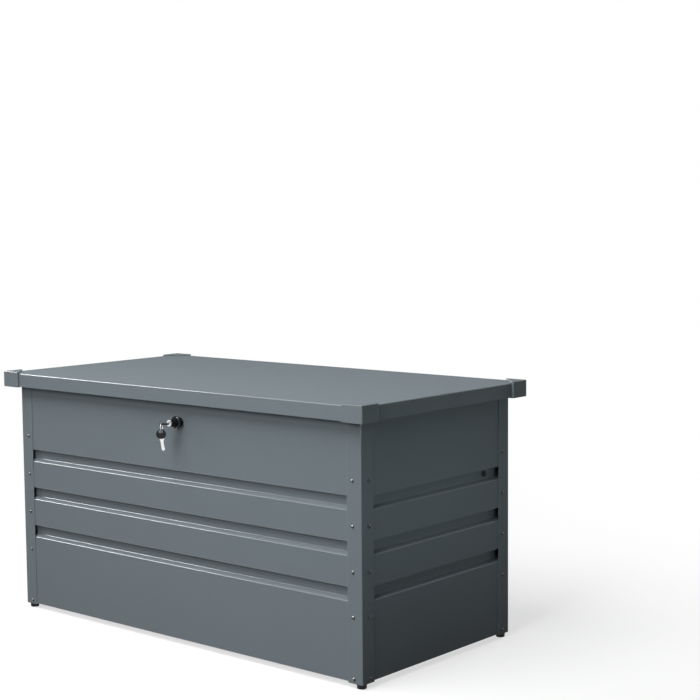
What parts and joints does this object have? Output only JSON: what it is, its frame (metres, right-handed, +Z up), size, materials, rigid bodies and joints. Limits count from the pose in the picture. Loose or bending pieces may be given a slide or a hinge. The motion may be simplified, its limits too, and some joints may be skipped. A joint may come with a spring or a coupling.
{
  "type": "deck storage box",
  "caption": "Long steel garden deck box with grooved walls, corner posts, a flat hinged lid with corner caps on gas struts, and a front key lock.",
  "frame": {"origin": "on the floor under the middle of the whole, keys included: 18 mm in front of the middle of the box itself", "axes": "+X along the length to the right seen from the front, -Y to the front, +Z up"},
  "size_m": [1.2, 0.6468, 0.6177],
  "materials": {
    "coated_steel": "satin anthracite powder coat",
    "cap_plastic": "matte moulded, same grey as the steel",
    "black_plastic": "matte moulded",
    "black_steel": "satin black",
    "chrome": "polished",
    "key_steel": "nickel plated",
    "zinc_steel": "zinc plated"
  },
  "bodies": {
    "base": {"floor_panel": "zinc_steel", "front_left_foot": "black_plastic", "front_left_post": "coated_steel", "front_panel": "coated_steel", "front_right_foot": "black_plastic", "front_right_post": "coated_steel", "hinge_nuts": "zinc_steel", "hinge_screws": "zinc_steel", "left_hinge_body_leaf": "zinc_steel", "left_hinge_pin": "zinc_steel", "left_side_panel": "coated_steel", "lock_body": "black_steel", "lock_nut": "zinc_steel", "lower_ball_studs": "black_steel", "lower_stud_nuts": "black_steel", "post_nuts": "zinc_steel", "post_screws": "black_steel", "rear_left_foot": "black_plastic", "rear_left_post": "coated_steel", "rear_panel": "coated_steel", "rear_right_foot": "black_plastic", "rear_right_post": "coated_steel", "right_hinge_body_leaf": "zinc_steel", "right_hinge_pin": "zinc_steel", "right_side_panel": "coated_steel"},
    "lid": {"front_left_lid_cap": "cap_plastic", "front_right_lid_cap": "cap_plastic", "left_hinge_lid_leaf": "zinc_steel", "left_lid_rib": "coated_steel", "left_strut_bracket": "zinc_steel", "lid_panel": "coated_steel", "lid_rivets": "coated_steel", "lock_keeper": "zinc_steel", "rear_left_lid_cap": "cap_plastic", "rear_right_lid_cap": "cap_plastic", "right_hinge_lid_leaf": "zinc_steel", "right_lid_rib": "coated_steel", "right_strut_bracket": "zinc_steel", "upper_ball_studs": "zinc_steel", "upper_stud_nuts": "zinc_steel"},
    "left_strut_tube": {"left_strut_tube": "black_steel", "left_tube_socket": "black_plastic"},
    "left_strut_rod": {"left_rod_socket": "black_plastic", "left_strut_rod": "chrome"},
    "right_strut_tube": {"right_strut_tube": "black_steel", "right_tube_socket": "black_plastic"},
    "right_strut_rod": {"right_rod_socket": "black_plastic", "right_strut_rod": "chrome"},
    "lock_plug": {"cam_screw": "zinc_steel", "lock_cam": "zinc_steel", "lock_plug": "chrome"},
    "key": {"key_blade": "key_steel", "key_bow": "black_plastic"},
    "key_ring": {"key_ring": "key_steel"},
    "spare_key": {"spare_key_blade": "key_steel", "spare_key_bow": "black_plastic"}
  },
  "joints": [
    {"name": "lid_hinge", "type": "hinge", "parent": "base", "child": "lid", "pos_m": [0, 0.29786, 0.5741], "axis": [-1, 0, 0], "range_deg": [0, 70], "stiffness_Nm_per_rad": 4, "springref_deg": 166.16},
    {"name": "left_tube_turn", "type": "hinge", "parent": "base", "child": "left_strut_tube", "pos_m": [-0.54, 0.20636, 0.4041], "axis": [-1, 0, 0], "range_deg": [0, 35]},
    {"name": "left_rod_turn", "type": "hinge", "parent": "lid", "child": "left_strut_rod", "pos_m": [-0.54, 0.10586, 0.59428], "axis": [-1, 0, 0], "range_deg": [-35, 0]},
    {"name": "right_tube_turn", "type": "hinge", "parent": "base", "child": "right_strut_tube", "pos_m": [0.54, 0.20636, 0.4041], "axis": [-1, 0, 0], "range_deg": [0, 35]},
    {"name": "right_rod_turn", "type": "hinge", "parent": "lid", "child": "right_strut_rod", "pos_m": [0.54, 0.10586, 0.59428], "axis": [-1, 0, 0], "range_deg": [-35, 0]},
    {"name": "lock_turn", "type": "hinge", "parent": "base", "child": "lock_plug", "pos_m": [0.02, -0.25294, 0.5335], "axis": [0, 1, 0], "range_deg": [0, 90]},
    {"name": "key_slide", "type": "slide", "parent": "lock_plug", "child": "key", "axis": [0, -1, 0], "range_m": [0, 0.03]},
    {"name": "ring_swing", "type": "hinge", "parent": "key", "child": "key_ring", "pos_m": [0.02241, -0.31406, 0.5363], "axis": [0.5299, -0.848, 0], "range_deg": [-20, 20]},
    {"name": "spare_key_swing", "type": "hinge", "parent": "key_ring", "child": "spare_key", "pos_m": [0.02241, -0.31406, 0.5193], "axis": [0.5299, -0.848, 0], "range_deg": [-30, 30]}
  ],
  "couplings": [
    {"joint": "left_tube_turn", "follows": "lid_hinge", "ratio": 0.5},
    {"joint": "left_rod_turn", "follows": "lid_hinge", "ratio": -0.5},
    {"joint": "right_tube_turn", "follows": "lid_hinge", "ratio": 0.5},
    {"joint": "right_rod_turn", "follows": "lid_hinge", "ratio": -0.5}
  ]
}
